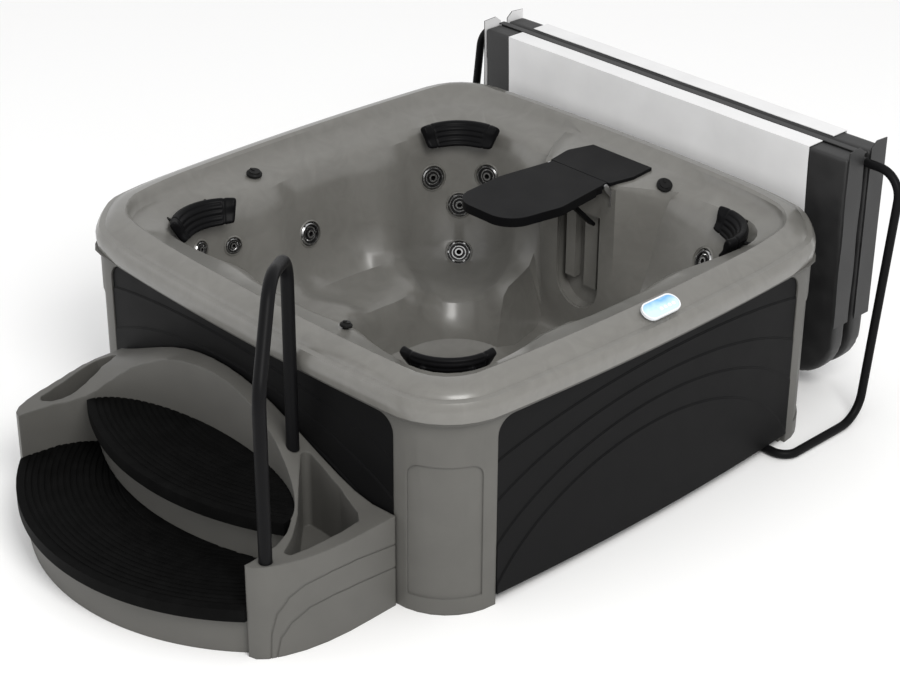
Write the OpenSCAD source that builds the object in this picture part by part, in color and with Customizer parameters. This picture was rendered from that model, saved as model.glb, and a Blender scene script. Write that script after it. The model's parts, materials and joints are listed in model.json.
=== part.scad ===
// Square outdoor hot tub with a curved entry step and a folded cover on its lifter.
// +Z is up, the floor is z = 0 and the origin is under the middle of the tub.
// The control side is +X, the steps stand at -Y and the folded cover hangs behind +Y.

/* [Tub] */
// Width across the rim at the ends of its straight sides
rim_w = 1978; // [1800:2:2200]
// How far each side bows out at its middle
side_bow = 26; // [10:1:40]
// Corner radius of the rim
rim_corner_r = 262; // [220:1:300]
// Height of the rim's crown above the floor
tub_h = 820; // [760:1:900]
// Thickness of the moulded tub shell
shell_t = 9; // [6:0.5:12]
// Width of the rim from its edge to the crown
rim_band = 105; // [90:1:120]
// Height of the seats above the floor
seat_h = 300; // [260:1:340]
// Height of the foot well's floor
well_h = 92; // [80:1:110]
// Half width of the foot well at the seats' front edge
well_half = 360; // [320:1:400]

/* [Cabinet] */
// How far the cabinet stands in from the rim's edge
cabinet_inset = 40; // [36:1:50]
// Wall of the moulded cabinet
cabinet_wall = 30; // [22:1:36]
// Height of the side panels' foot above the floor
panel_foot = 40; // [38:1:60]
// Thickness of the side panels
panel_t = 12; // [8:1:18]
// Gap round each side panel
panel_gap = 2; // [1:0.5:4]
// Rounding of the panel openings' top corners
panel_corner_r = 62; // [40:1:80]
// Rise of the panels' top edge at the middle
panel_arch = 6; // [0:1:12]
// Rise of each wave on the side panels
wave_rise = 3; // [2:0.5:4]
// Thickness of the base pan above its channel
pan_top = 46; // [44:1:56]

/* [Jets and controls] */
// Diameter of a large jet's flange
jet_d = 92; // [80:1:100]
// Diameter of a small jet's flange
small_jet_d = 62; // [54:1:70]
// Diameter of an air knob
knob_d = 58; // [50:1:64]
// Length of the control panel
topside_l = 160; // [150:1:180]
// Width of the control panel
topside_w = 68; // [62:1:74]
// Thickness of a neck pillow
pillow_t = 46; // [36:1:54]

/* [Table over the filter] */
// Width of the filter lid
lid_w = 330; // [300:1:350]
// Depth of the filter lid
lid_d = 215; // [200:1:224]
// Length of the table leaf
leaf_l = 495; // [440:1:510]
// Width of the table leaf at its widest
leaf_w = 336; // [300:1:350]
// Thickness of the table leaf
leaf_t = 34; // [30:1:38]

/* [Steps] */
// Height of the lower tread
tread_low = 175; // [160:1:190]
// Height of the upper tread
tread_high = 345; // [330:1:360]
// Height of the arched back at its middle
back_h = 556; // [520:1:580]
// Wall of the moulded step
step_wall = 8; // [6:0.5:12]
// Thickness of the tread mats
mat_t = 14; // [10:1:18]
// Diameter of the handrail tube
rail_d = 42; // [34:1:48]
// Height of the handrail's top above the floor
rail_top = 1087; // [1050:1:1200]

/* [Cover and lifter] */
// Half width of the cover
cover_half = 898; // [880:1:910]
// Length of each cover half from the fold
cover_l = 910; // [880:1:920]
// Foam thickness at the fold
foam_fold = 90; // [80:1:96]
// Foam thickness at the free edge
foam_edge = 65; // [50:1:80]
// Wall of the cover's jacket
jacket_t = 3; // [2:0.5:5]
// Diameter of the lifter tube
tube_d = 32; // [28:1:36]
// Distance of the lifter's pivot behind the tub's middle
pivot_y = 620; // [600:1:640]
// Distance of the stored cover's fold behind the tub's middle
fold_y = 1145; // [1140:1:1160]
// Height of the stored cover's bar
bar_z = 940; // [930:1:960]

/* [Hidden] */

// Finish colours
c_shell = [0.47, 0.46, 0.43];
c_black = [0.10, 0.10, 0.10];
c_chrome = [0.8, 0.8, 0.82];
c_white = [0.9, 0.9, 0.9];
c_vinyl = [0.2, 0.2, 0.2];

// Shared sizes
rim_half = rim_w / 2;
rim_e = rim_half - rim_corner_r;
seat_gap = 0.3;
tube_r = tube_d / 2;
cab_half = rim_half - cabinet_inset;
cab_corner_r = rim_corner_r - cabinet_inset;
cab_top = 697;
band_top = 714.7;
band_out = 22;
// Thin seat that the shell's foot rests on
seat_rim_t = 3;
seat_rim_out = 35;
foot_z = 715;

// A number folded into one eighth of the square, as an angle from the nearest side's normal
function side_turn(a) = a - 90 * floor((a + 45) / 90);
// Radius of a rounded, bowed square of half width h and corner radius rc along the angle a
function square_r(a, h, rc, bow) =
  let (t = abs(side_turn(a)), e = h - rc, y = h * tan(t), dc = e * (cos(t) + sin(t)))
  y <= e ? (h + bow * (1 - pow(y / e, 2))) / cos(t) : dc + sqrt(dc * dc - 2 * e * e + rc * rc);
function ramp(x, lo, hi) = let (u = max(0, min(1, (x - lo) / (hi - lo)))) u * u * (3 - 2 * u);
function mix(a, b, u) = a + (b - a) * u;

// How far the rim and the cabinet are cut back at the +X +Y and -X -Y corners
rim_cut = 46;
cabinet_cut = 10;
// Outline of a rounded, bowed square as points, starting at the +X side
function square_pts(h, rc, bow, n_side = 12, n_arc = 8, cut = cabinet_cut) =
  let (e = h - rc)
  [for (k = [0:3]) each concat(
    [for (i = [0:n_side - 1]) let (y = -e + 2 * e * i / n_side)
      turn([h + bow * (1 - pow(y / e, 2)), y], 90 * k)],
    [for (j = [0:n_arc - 1]) let (f = 90 * j / n_arc,
        c = k % 2 == 0 ? cut * pow(sin(2 * f), 2) / sqrt(2) : 0)
      turn([e + rc * cos(f) - c, e + rc * sin(f) - c], 90 * k)])];
function turn(p, a) = [p[0] * cos(a) - p[1] * sin(a), p[0] * sin(a) + p[1] * cos(a)];
module square_outline(h, rc, cut = cabinet_cut) { polygon(square_pts(h, rc, side_bow, cut = cut)); }

// The tub shell: rings from the rim's foot to the foot well's centre
filter_front = 600;
lid_z = 790;
ridge_angles = [23, 113, 158, 202, 248, 292, 338];
ridge_span = 7;
bulk_lo = -339;
bulk_hi = 436;
bulk_edge = 97;
crown = rim_half - rim_band;
// How far the -X +Y corner's backrest stands in and the -X -Y corner's is pushed out, ring by ring
corner_in = [0, 0, 0, 0, 0, 0, 0, 0, 0, -20, -60, -72, -37, -8, 0, 0, 0, 0, 0, 0, 0, 0, 0, 0, 0];
corner_out = [0, 0, 0, 0, 0, 0, 0, 0, 0, 0, 0, 12, 48, 64, 58, 48, 30, 10, 0, 0, 0, 0, 0, 0, 0];
// How far the +X corners are pushed out behind their pillows, ring by ring
pocket_out = [0, 0, 0, 0, 0, 0, 0, 0, 0, 0, 0, 44, 88, 54, 8, 0, 0, 0, 0, 0, 0, 0, 0, 0, 0];
// Depth of the -X +Y corner's seat below the others
corner_dip = 62;
// Share of rim_cut at each ring
cut_share = [1, 1, 1, 1, 1, 1, 0.9, 0.8, 0.6, 0.4, 0.2, 0, 0, 0, 0, 0, 0, 0, 0, 0, 0, 0, 0, 0, 0];
// Each ring: half width, corner radius, height, ridge inset, ridge rise, bulkhead y, bulkhead height
rings = [
  [rim_half - 3, rim_corner_r - 3, foot_z, 0, 0, 0, 0],
  [rim_half, rim_corner_r, tub_h - 85, 0, 0, 0, 0],
  [rim_half, rim_corner_r, tub_h - 57, 0, 0, 0, 0],
  [rim_half - 12, rim_corner_r - 12, tub_h - 38, 0, 0, 0, 0],
  [rim_half - 31, rim_corner_r - 30, tub_h - 35, 0, 0, 0, 0],
  [rim_half - 39, rim_corner_r - 38, tub_h - 23, 0, 0, 0, 0],
  [rim_half - 74, rim_corner_r - 72, tub_h - 7, 0, 0, 0, 0],
  [crown, rim_corner_r - 97, tub_h, 0, 0, 0, 0],
  [crown - 14, rim_corner_r - 107, tub_h - 8, 0, 0, 0, 0],
  [crown - 22, rim_corner_r - 112, tub_h - 30, 0, 0, crown - 22, lid_z + 4],
  [crown - 39, rim_corner_r - 112, tub_h - 48, 0, 0, crown - 40, lid_z],
  [crown - 119, rim_corner_r - 77, tub_h - 62, -14, 2, filter_front + 14, lid_z],
  [crown - 156, rim_corner_r - 47, tub_h - 88, -26, 0, filter_front, lid_z - 14],
  [crown - 179, rim_corner_r - 12, tub_h - 170, -34, 0, filter_front, 560],
  [crown - 204, rim_corner_r + 8, seat_h + 180, -46, 0, filter_front, 420],
  [crown - 232, rim_corner_r + 16, seat_h + 70, -60, 14, filter_front, 280],
  [crown - 276, rim_corner_r + 10, seat_h + 16, -50, 40, filter_front, 180],
  [crown - 370, rim_corner_r - 5, seat_h, 0, 54, filter_front - 2, well_h + 50],
  [well_half + 50, rim_corner_r - 20, seat_h + 4, 0, 44, filter_front - 12, well_h + 20],
  [well_half + 16, rim_corner_r - 26, seat_h - 8, 0, 30, filter_front - 34, well_h + 6],
  [well_half, rim_corner_r - 32, seat_h - 44, 0, 8, filter_front - 64, well_h + 4],
  [well_half - 18, rim_corner_r - 38, mix(well_h, seat_h, 0.42), 0, 0, filter_front - 120, well_h + 3],
  [well_half - 34, rim_corner_r - 46, well_h + 20, 0, 0, filter_front - 190, well_h + 2],
  [well_half - 72, rim_corner_r - 72, well_h + 3, 0, 0, filter_front - 270, well_h + 1],
  [well_half - 200, 110, well_h, 0, 0, well_half - 200, well_h]];
n_side = 15;
n_arc = 8;
ring_angles = [for (k = [0:3]) each concat(
  [for (i = [0:n_side - 1]) atan2(-rim_e + 2 * rim_e * i / n_side, rim_half) + 90 * k],
  [for (j = [0:n_arc - 1]) let (f = 90 * j / n_arc)
    atan2(rim_e + rim_corner_r * sin(f), rim_e + rim_corner_r * cos(f)) + 90 * k])];
n_ang = len(ring_angles);
n_ring = len(rings);

function wrap(a) = a - 360 * floor(a / 360);
function ridge(a) = max([for (r = ridge_angles)
  let (d = abs(wrap(a - r + 180) - 180)) exp(-pow(d / ridge_span, 2))]);
// 1 across the filter bulkhead on the +Y side, 0 elsewhere
function bulk(a) = let (d = side_turn(a), s = -rim_half * tan(d))
  abs(wrap(a) - 90) < 40
    ? ramp(s, bulk_lo, bulk_lo + bulk_edge) * (1 - ramp(s, bulk_hi - bulk_edge, bulk_hi)) : 0;
// A bump of height 1 round the angle c
function bell(a, c, span) = exp(-pow((abs(wrap(a - c + 180) - 180)) / span, 2));
function dip(z) = ramp(z, 150, 280) * (1 - ramp(z, 330, 520));
function ring_point(a, j) =
  let (g = rings[j], rd = ridge(a), b = g[5] > 0 ? bulk(a) : 0,
    pull = corner_in[j] * bell(a, 135, 15) + corner_out[j] * bell(a, 225, 13)
      + pocket_out[j] * max(bell(a, 45, 15), bell(a, 315, 15))
      - rim_cut * cut_share[j] * max(bell(a, 45, 7.5), bell(a, 225, 7.5)),
    r0 = pull + square_r(a, g[0] + g[3] * rd, g[1], side_bow * min(1, g[0] / crown)),
    r = mix(r0, g[5] / max(cos(side_turn(a)), 0.5), b),
    z0 = g[2] - corner_dip * bell(a, 135, 20) * dip(g[2]),
    z = mix(z0 + g[4] * rd, g[6], b))
  [r * cos(a), r * sin(a), z];
// A point between rings, and the wall's normal there, pointing into the basin
function wall_point(a, f) = let (j = floor(f)) mix(ring_point(a, j), ring_point(a, j + 1), f - j);
function unit(v) = v / norm(v);
function wall_normal(a, f) =
  unit(cross(wall_point(a + 2, f) - wall_point(a - 2, f),
    wall_point(a, f + 0.4) - wall_point(a, f - 0.4)));

in_pts = [for (j = [0:n_ring - 1]) [for (i = [0:n_ang - 1]) ring_point(ring_angles[i], j)]];
function skin_normal(i, j) =
  let (u = in_pts[j][(i + 1) % n_ang] - in_pts[j][(i + n_ang - 1) % n_ang],
    v = in_pts[min(j + 1, n_ring - 1)][i] - in_pts[max(j - 1, 0)][i])
  unit(cross(u, v));
out_pts = [for (j = [0:n_ring - 1]) [for (i = [0:n_ang - 1])
  in_pts[j][i] - shell_t * skin_normal(i, j)]];

module shell_skin() {
  pts = concat([for (r = in_pts) each r], [for (r = out_pts) each r],
    [[0, 0, well_h], [0, 0, well_h - shell_t]]);
  n = n_ang;
  m = n_ring;
  faces = concat(
    [for (j = [0:m - 2]) for (i = [0:n - 1]) let (k = (i + 1) % n, a = j * n + i, b = j * n + k)
      each [[a, a + n, b], [b, a + n, b + n]]],
    [for (j = [0:m - 2]) for (i = [0:n - 1])
      let (k = (i + 1) % n, a = (m + j) * n + i, b = (m + j) * n + k)
      each [[a, b, a + n], [b, b + n, a + n]]],
    [for (i = [0:n - 1]) let (k = (i + 1) % n) each [[i, k, m * n + i], [k, m * n + k, m * n + i]]],
    [for (i = [0:n - 1]) let (k = (i + 1) % n, s = (m - 1) * n) [s + i, 2 * m * n, s + k]],
    [for (i = [0:n - 1]) let (k = (i + 1) % n, s = (2 * m - 1) * n) [s + i, s + k, 2 * m * n + 1]]);
  polyhedron(pts, faces);
}

// Places its children at a wall point, with local +Z along the basin-side normal
module on_wall(a, f, lift = 0) {
  p = wall_point(a, f);
  n = wall_normal(a, f);
  ax = unit(cross([0, 0, 1], n));
  ay = cross(n, ax);
  multmatrix([
    [ax[0], ay[0], n[0], p[0] + lift * n[0]],
    [ax[1], ay[1], n[1], p[1] + lift * n[1]],
    [ax[2], ay[2], n[2], p[2] + lift * n[2]],
    [0, 0, 0, 1]]) children();
}

// Jets: angle, ring place, 1 for a large jet and 0 for a small one
jets = [[127.8, 13.45, 1], [142.1, 13.5, 1], [135, 14.15, 1], [135, 15.6, 1], [186, 13.85, 1],
  [218.4, 13.3, 0], [211.4, 13.45, 0], [38, 13.4, 1], [52, 13.4, 1], [270, 13.9, 1]];
socket_w = 7;
socket_lip = 6;
function jet_r(k) = (jets[k][2] == 1 ? jet_d : small_jet_d) / 2;
function jet_bore(k) = jets[k][2] == 1 ? 30 : 20;

module tub_shell() {
  color(c_shell) difference() {
    shell_skin();
    for (k = [0:len(jets) - 1]) on_wall(jets[k][0], jets[k][1])
      translate([0, 0, -60]) cylinder(r = jet_r(k) + socket_w + seat_gap, h = 120);
    for (k = knobs) on_wall(k[0], k[1])
      translate([0, 0, -40]) cylinder(r = knob_stem_r + seat_gap, h = 80);
    for (k = [0:len(pillows) - 1]) pillow_place(k) pillow_pegs(peg_r + seat_gap, peg_l);
    on_topside() translate([0, 0, -60]) linear_extrude(70)
      stadium(topside_l - 24 + 2 * seat_gap, topside_w - 24 + 2 * seat_gap);
    translate([niche_x, filter_front - 60, niche_z])
      rotate([-90, 0, 0]) linear_extrude(110) niche_outline(0);
    translate([niche_x - 110, filter_front + 50, lid_z - 40]) cube([220, 150, 80]);
  }
}

// The filter's niche in the bulkhead: a slot with a rounded foot, drawn with +Y down
niche_x = 30;
niche_z = 640;
niche_w = 210;
niche_drop = 400;
module niche_outline(grow) {
  translate([0, niche_drop - niche_w / 2]) circle(r = niche_w / 2 + grow);
  translate([-niche_w / 2 - grow, -grow]) square([niche_w + 2 * grow, niche_drop - niche_w / 2 + grow]);
}
housing_gap = 0.4;
niche_depth = 120;
weir_back = 44;
module filter_housing() {
  color(c_shell) translate([niche_x, filter_front + shell_t + housing_gap, niche_z]) rotate([-90, 0, 0]) {
    difference() {
      linear_extrude(niche_depth) niche_outline(8);
      translate([0, 0, -1]) linear_extrude(weir_back + 1) niche_outline(-3);
      translate([0, 0, weir_back + 6]) linear_extrude(niche_depth - weir_back - 12) niche_outline(-3);
      translate([-80, -9, weir_back + 6]) cube([160, 12, niche_depth - weir_back - 12]);
    }
    for (b = weir_bars) translate([b[0], -8, b[3]]) cube([b[1], b[2], weir_back - b[3] + 1]);
  }
}
// Upright bars of the skimmer's front: left edge, width, length below the top, depth behind the wall
weir_bars = [[-74, 46, 300, 8], [8, 62, 322, 20]];
module filter_cartridge() {
  y = filter_front + shell_t + housing_gap + (weir_back + niche_depth) / 2;
  color(c_white) translate([niche_x, y, niche_z - 273.6]) difference() {
    cylinder(r = 28, h = 262);
    translate([0, 0, -1]) cylinder(r = 12, h = 264);
  }
}

// Cabinet with its corner posts, frieze and the band that the rim rests on; a ledge backs each panel
panel_ledge = 14;
panel_top = 678;
panel_end = cab_half - cab_corner_r - 3;
module panel_front_outline(gap) {
  e = panel_end - gap;
  top = panel_top - gap;
  r = panel_corner_r;
  foot = gap == panel_gap ? panel_foot : -20;
  polygon(concat([[-e, foot], [e, foot]],
    [for (i = [0:6]) let (f = 15 * i) [e - r + r * cos(f), top - r + r * sin(f)]],
    [for (i = [1:7]) let (u = 1 - i / 4) [u * (e - r), top + panel_arch * (1 - u * u)]],
    [for (i = [0:6]) let (f = 90 + 15 * i) [-e + r + r * cos(f), top - r + r * sin(f)]]));
}
// Runs its 2D children, drawn as (along the side, height), out through the side that faces angle a
module through_side(a) {
  rotate([0, 0, a]) rotate([90, 0, 90]) linear_extrude(1200) children();
}
module corner_recess(a) {
  w = 116;
  intersection() {
    rotate([0, 0, a]) rotate([90, 0, 90]) linear_extrude(1400) union() {
      translate([-w, 60]) square([2 * w, 440]);
      translate([-w + 40, 500]) square([2 * w - 80, 40]);
      translate([-w + 40, 500]) circle(r = 40);
      translate([w - 40, 500]) circle(r = 40);
    }
    difference() {
      translate([0, 0, 30]) linear_extrude(600) square_outline(cab_half + 4, cab_corner_r + 4);
      linear_extrude(700) square_outline(cab_half - 5, cab_corner_r - 5);
    }
  }
}
module cabinet() {
  color(c_shell) difference() {
    union() {
      linear_extrude(cab_top) square_outline(cab_half, cab_corner_r);
      translate([0, 0, cab_top]) linear_extrude(band_top - cab_top)
        square_outline(cab_half + band_out, cab_corner_r + band_out, cabinet_cut + band_out);
      translate([0, 0, band_top - seat_rim_t]) linear_extrude(seat_rim_t)
        square_outline(cab_half + seat_rim_out, cab_corner_r + seat_rim_out, cabinet_cut + seat_rim_out);
    }
    translate([0, 0, -1]) linear_extrude(band_top + 2)
      square_outline(cab_half - cabinet_wall, cab_corner_r - cabinet_wall);
    for (a = [0:90:270]) {
      through_side(a) panel_front_outline(panel_ledge);
      intersection() {
        through_side(a) panel_front_outline(0);
        rotate([0, 0, a]) bowed_slab(cab_half + 40, 40 + 3 + wave_rise + panel_t + seat_gap, -20, cab_top + 60);
      }
    }
    for (a = [45:90:315]) corner_recess(a);
  }
}

// Side panels with swept wave ribs; flip mirrors the wave
module bowed_slab(outer, t, z0, z1) {
  e = cab_half - cab_corner_r;
  translate([0, 0, z0]) linear_extrude(z1 - z0) polygon(concat(
    [for (i = [0:12]) let (y = -e + e * i / 6) [outer + side_bow * (1 - pow(y / e, 2)), y]],
    [for (i = [12:-1:0]) let (y = -e + e * i / 6) [outer - t + side_bow * (1 - pow(y / e, 2)), y]]));
}
// Waves, from the lowest: the crest's place along the side, its ellipse's centre height and radii
waves = [[-10, -186, 800, 600], [20, -111, 900, 610], [30, 28, 1000, 550], [100, 252, 1150, 400]];
wave_steps = 2;
wave_slope = 5;
module wave_outline(g, grow) {
  polygon([for (k = [0:50]) let (f = 15 + 3 * k)
    [g[0] + (g[2] + grow) * cos(f), g[1] + (g[3] + grow) * sin(f)]]);
}
module side_panel(a, flip) {
  face = cab_half - 3 - wave_rise;
  color(c_black) rotate([0, 0, a]) {
    intersection() {
      bowed_slab(face, panel_t, 0, cab_top);
      rotate([90, 0, 90]) linear_extrude(1200) panel_front_outline(panel_gap);
    }
    for (i = [0:3]) for (s = [1:wave_steps]) intersection() {
      bowed_slab(face + wave_rise * (3 - i + s / wave_steps), wave_rise * 4, 0, cab_top);
      rotate([90, 0, 90]) linear_extrude(1200) intersection() {
        mirror([flip, 0]) wave_outline(waves[i], -wave_slope * s);
        panel_front_outline(panel_gap);
      }
    }
  }
}

// Base pan with the channel that the lifter's lower tube lies in
module base_pan() {
  h = rim_half - 119;
  color(c_black) difference() {
    linear_extrude(pan_top) square_outline(h, rim_corner_r - 119);
    translate([-1200, pivot_y - tube_r - 8, -1]) cube([2400, tube_d + 16, tube_d + 8]);
  }
}

// Control panel on the +X rim, tilted with it
topside_z = tub_h - 22;
topside_tilt = 26;
topside_y = -24;
module on_topside() {
  translate([rim_half - 48 + side_bow, topside_y, topside_z + 16]) rotate([0, topside_tilt, 0]) children();
}
module stadium(l, w) {
  translate([0, -(l - w) / 2]) circle(d = w);
  translate([0, (l - w) / 2]) circle(d = w);
  square([w, l - w], center = true);
}
module control_bezel() {
  color(c_white) on_topside() difference() {
    union() {
      linear_extrude(9) stadium(topside_l, topside_w);
      translate([0, 0, -34]) linear_extrude(35) stadium(topside_l - 24, topside_w - 24);
    }
    translate([0, 0, 4]) linear_extrude(6) stadium(topside_l - 10, topside_w - 10);
  }
}
button_y = [-6, 13, 32, 51];
module control_face() {
  color([0.55, 0.75, 0.9]) on_topside() difference() {
    translate([0, 0, 4]) linear_extrude(3.5) stadium(topside_l - 10.6, topside_w - 10.6);
    for (y = button_y) translate([8, y, 5]) cylinder(r = 7.2, h = 4);
    translate([-4, -52, 6.7]) cube([22, 34, 3]);
  }
}
module button(k) {
  color(c_white) on_topside() translate([8, button_y[k], 6]) cylinder(r = 6.9, h = 3.2);
}

// Turning air knobs on the deck: angle, ring place and share of the full diameter
knobs = [[197.5, 10.75, 1], [68.4, 10.7, 1], [292, 10.9, 0.72]];
knob_stem_r = 10;
knob_lift = 7;
module knob(k) {
  r = knobs[k][2] * knob_d / 2;
  color(c_black) on_wall(knobs[k][0], knobs[k][1]) translate([0, 0, knob_lift]) {
    cylinder(r = r, h = 7);
    translate([0, 0, 7]) cylinder(r1 = r, r2 = r - 5, h = 5, $fn = 60);
    translate([0, 0, 11]) cylinder(r = r - 8, h = 5);
    translate([-3, 2, 14]) cube([6, r - 11, 5]);
    translate([0, 0, -30]) cylinder(r = knob_stem_r, h = 31);
  }
}

// Moulded sockets that line the jets' holes: a rounded lip, a wall and a floor
module jet_sockets() {
  color(c_shell) for (k = [0:len(jets) - 1]) on_wall(jets[k][0], jets[k][1]) {
    r = jet_r(k) + socket_w;
    difference() {
      union() {
        translate([0, 0, -24]) cylinder(r = r, h = 21 + socket_lip);
        translate([0, 0, socket_lip - 3]) cylinder(r1 = r, r2 = r - 3, h = 3, $fn = 60);
      }
      translate([0, 0, -14]) cylinder(r = jet_r(k) + 1.5, h = 40);
      translate([0, 0, -30]) cylinder(r = jet_bore(k) + 0.5, h = 40);
    }
  }
}
// Jet bodies: a collar in the socket, a barrel through its floor and a nut behind
module jet_bodies() {
  color([0.3, 0.3, 0.31]) for (k = [0:len(jets) - 1]) on_wall(jets[k][0], jets[k][1]) {
    difference() {
      union() {
        translate([0, 0, -13.7]) cylinder(r = jet_r(k) - 2, h = 9);
        translate([0, 0, -62]) cylinder(r = jet_bore(k), h = 50);
        translate([0, 0, -36.3]) cylinder(r = jet_bore(k) + 9, h = 12, $fn = 8);
      }
      translate([0, 0, -46]) cylinder(r = jet_bore(k) - 5, h = 60);
    }
  }
}
// The turning face of a jet: an outer ring, three vanes and the nozzle
module jet_face(k) {
  r = jet_r(k) - 3;
  b = jet_bore(k) - 5.4;
  color(c_chrome) on_wall(jets[k][0], jets[k][1]) translate([0, 0, -4.3]) difference() {
    union() {
      cylinder(r = r, h = 6);
      translate([0, 0, 6]) cylinder(r1 = r, r2 = r - 5, h = 5, $fn = 48);
      translate([0, 0, -26]) cylinder(r = b, h = 30);
      for (t = [0:60:300]) rotate([0, 0, t]) translate([r - 4.2, 0, 0.5]) cylinder(r = 5, h = 9);
    }
    difference() {
      translate([0, 0, 4]) cylinder(r = r - 11, h = 20);
      translate([0, 0, 3]) cylinder(r = r * 0.4, h = 9);
      for (t = [0:120:240]) rotate([0, 0, t]) translate([0, -3, 3]) cube([r, 6, 6]);
    }
    translate([0, 0, -30]) cylinder(r = r * 0.22, h = 60);
  }
}
module ledge_cap() {
  color(c_chrome) on_wall(228, 18.3) translate([0, 0, 1.8]) difference() {
    cylinder(r = 22, h = 9);
    translate([0, 0, 3]) cylinder(r = 15, h = 10);
    translate([0, 0, -5]) cylinder(r = 5, h = 20);
  }
}

// Neck pillows: each has the place of its arc's centre, the way it backs onto, and its height
pillow_z = tub_h - 32;
pillows = [[-543, -587, 183, pillow_z], [-499.5, 499.5, 135, pillow_z + 2],
  [585, 585, 45, pillow_z], [585, -585, 315, pillow_z]];
pillow_top_r = 178;
pillow_foot_r = 124;
pillow_drop = 90;
pillow_span = 54;
peg_r = 8;
peg_turn = 24;
peg_drop = 40;
peg_l = 130;
// Section of a pillow at u from -1 to 1 along it, as (radius, height below the top) points
function pillow_section(u) =
  let (q = 1 - pow(abs(u), 4), t = pillow_t * (0.45 + 0.55 * q), c = 9 * q, d = pillow_drop - 6 * (1 - q),
    rt = pillow_top_r, rb = pillow_foot_r + 14 * (1 - q))
  [[rt + 8, -6 - 4 * (1 - q)], [rt - 4, -c * 0.4], [rt - 13, -c * 0.2 - 6], [rt - 22 - c * 0.7, -26],
    [mix(rt, rb, 0.6) - c, -d * 0.6], [rb - 3, -d + 9], [rb + 2, -d + 2], [rb + 9, -d],
    [rb + t * 0.7, -d + 6], [mix(rt, rb, 0.5) + t * 0.8, -d * 0.5], [rt + 12, -18]];
module pillow_place(k) {
  g = pillows[k];
  translate([g[0], g[1], g[3]]) rotate([0, 0, g[2]]) children();
}
module pillow_pegs(r, h) {
  for (t = [-peg_turn, peg_turn]) rotate([0, 0, t]) translate([pillow_foot_r + 30, 0, -peg_drop])
    rotate([0, 90, 0]) cylinder(r = r, h = h);
}
module pillow(k) {
  n = 18;
  secs = [for (i = [0:n]) let (u = -1 + 2 * i / n, f = u * pillow_span)
    [for (q = pillow_section(u)) [q[0] * cos(f), q[0] * sin(f), q[1]]]];
  m = len(secs[0]);
  pts = [for (sec = secs) each sec];
  faces = concat([[for (i = [m - 1:-1:0]) i]], [[for (i = [0:m - 1]) n * m + i]],
    [for (i = [0:n - 1]) for (j = [0:m - 1]) let (a = i * m + j, b = i * m + (j + 1) % m)
      each [[a, b, a + m], [b, b + m, a + m]]]);
  color(c_black) pillow_place(k) {
    polyhedron(pts, faces);
    pillow_pegs(peg_r, peg_l);
  }
}

// Filter lid and the folding table leaf in front of it
seam_y = 585;
lid_top = lid_z + 12;
table_x = 42;
module filter_lid() {
  color(c_black) translate([table_x, seam_y, lid_z + seat_gap]) linear_extrude(lid_top - lid_z)
    hull() {
      translate([-lid_w / 2 + 20, 0]) square([lid_w - 40, 10]);
      translate([-lid_w / 2 + 50, lid_d / 2]) circle(r = 50);
      translate([lid_w / 2 - 50, lid_d / 2]) circle(r = 50);
      translate([-lid_w / 2 + 30, lid_d - 4]) square([lid_w - 40, 4]);
    }
}
leaf_z = lid_top - leaf_t;
leaf_back = seam_y - 2;
leaf_skin = 7;
hinge_r = 12;
hinge_z = 790;
hinge_y = 571;
hinge_w = 270;
pin_r = 5;
// How far in front of the pin the leaf's underside is cut away for the lugs when it is folded
lug_reach = 52;
strut_back = 150;
strut_z = 783;
strut_l = 238;
strut_x = 62;
strut_r = 7;
module leaf_outline(grow) {
  offset(delta = grow) hull() {
    translate([-hinge_w / 2, -6]) square([hinge_w, 6]);
    translate([-leaf_w / 2 + 90, -leaf_l + 250]) circle(r = 90);
    translate([leaf_w / 2 - 90, -leaf_l + 230]) circle(r = 90);
    translate([-60, -leaf_l + 95]) circle(r = 95);
    translate([40, -leaf_l + 105]) circle(r = 105);
  }
}
module table_leaf() {
  color(c_black) translate([table_x, 0, 0]) difference() {
    union() {
      difference() {
        translate([0, leaf_back, leaf_z]) linear_extrude(leaf_t) leaf_outline(0);
        translate([-200, hinge_y - hinge_r, leaf_z - 1]) cube([400, 40, hinge_z - leaf_z + 1]);
        translate([0, leaf_back, leaf_z - 1]) linear_extrude(leaf_t - leaf_skin + 1) difference() {
          leaf_outline(-8);
          translate([-200, -30]) square([400, 60]);
        }
      }
      translate([-hinge_w / 2, hinge_y, hinge_z]) rotate([0, 90, 0]) cylinder(r = hinge_r, h = hinge_w);
      for (x = [strut_x - 22.5, strut_x + 14.5]) translate([x, hinge_y - strut_back - 11, strut_z - 9])
        cube([8, 22, lid_top - leaf_skin - strut_z + 10]);
    }
    translate([-hinge_w / 2 - 1, hinge_y, hinge_z]) rotate([0, 90, 0])
      cylinder(r = pin_r + 0.05, h = hinge_w + 2);
    for (s = [-1, 1]) translate([s * (hinge_w / 2 + 4.5) - 4.5, hinge_y, leaf_z - 1]) {
      translate([0, -13, 0]) cube([9, 60, leaf_t + 2]);
      translate([0, -lug_reach, 0]) cube([9, lug_reach, leaf_t - leaf_skin + 1]);
    }
    translate([strut_x - 40, hinge_y - strut_back, strut_z]) rotate([0, 90, 0])
      cylinder(r = pin_r + 0.05, h = 80);
  }
}
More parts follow.
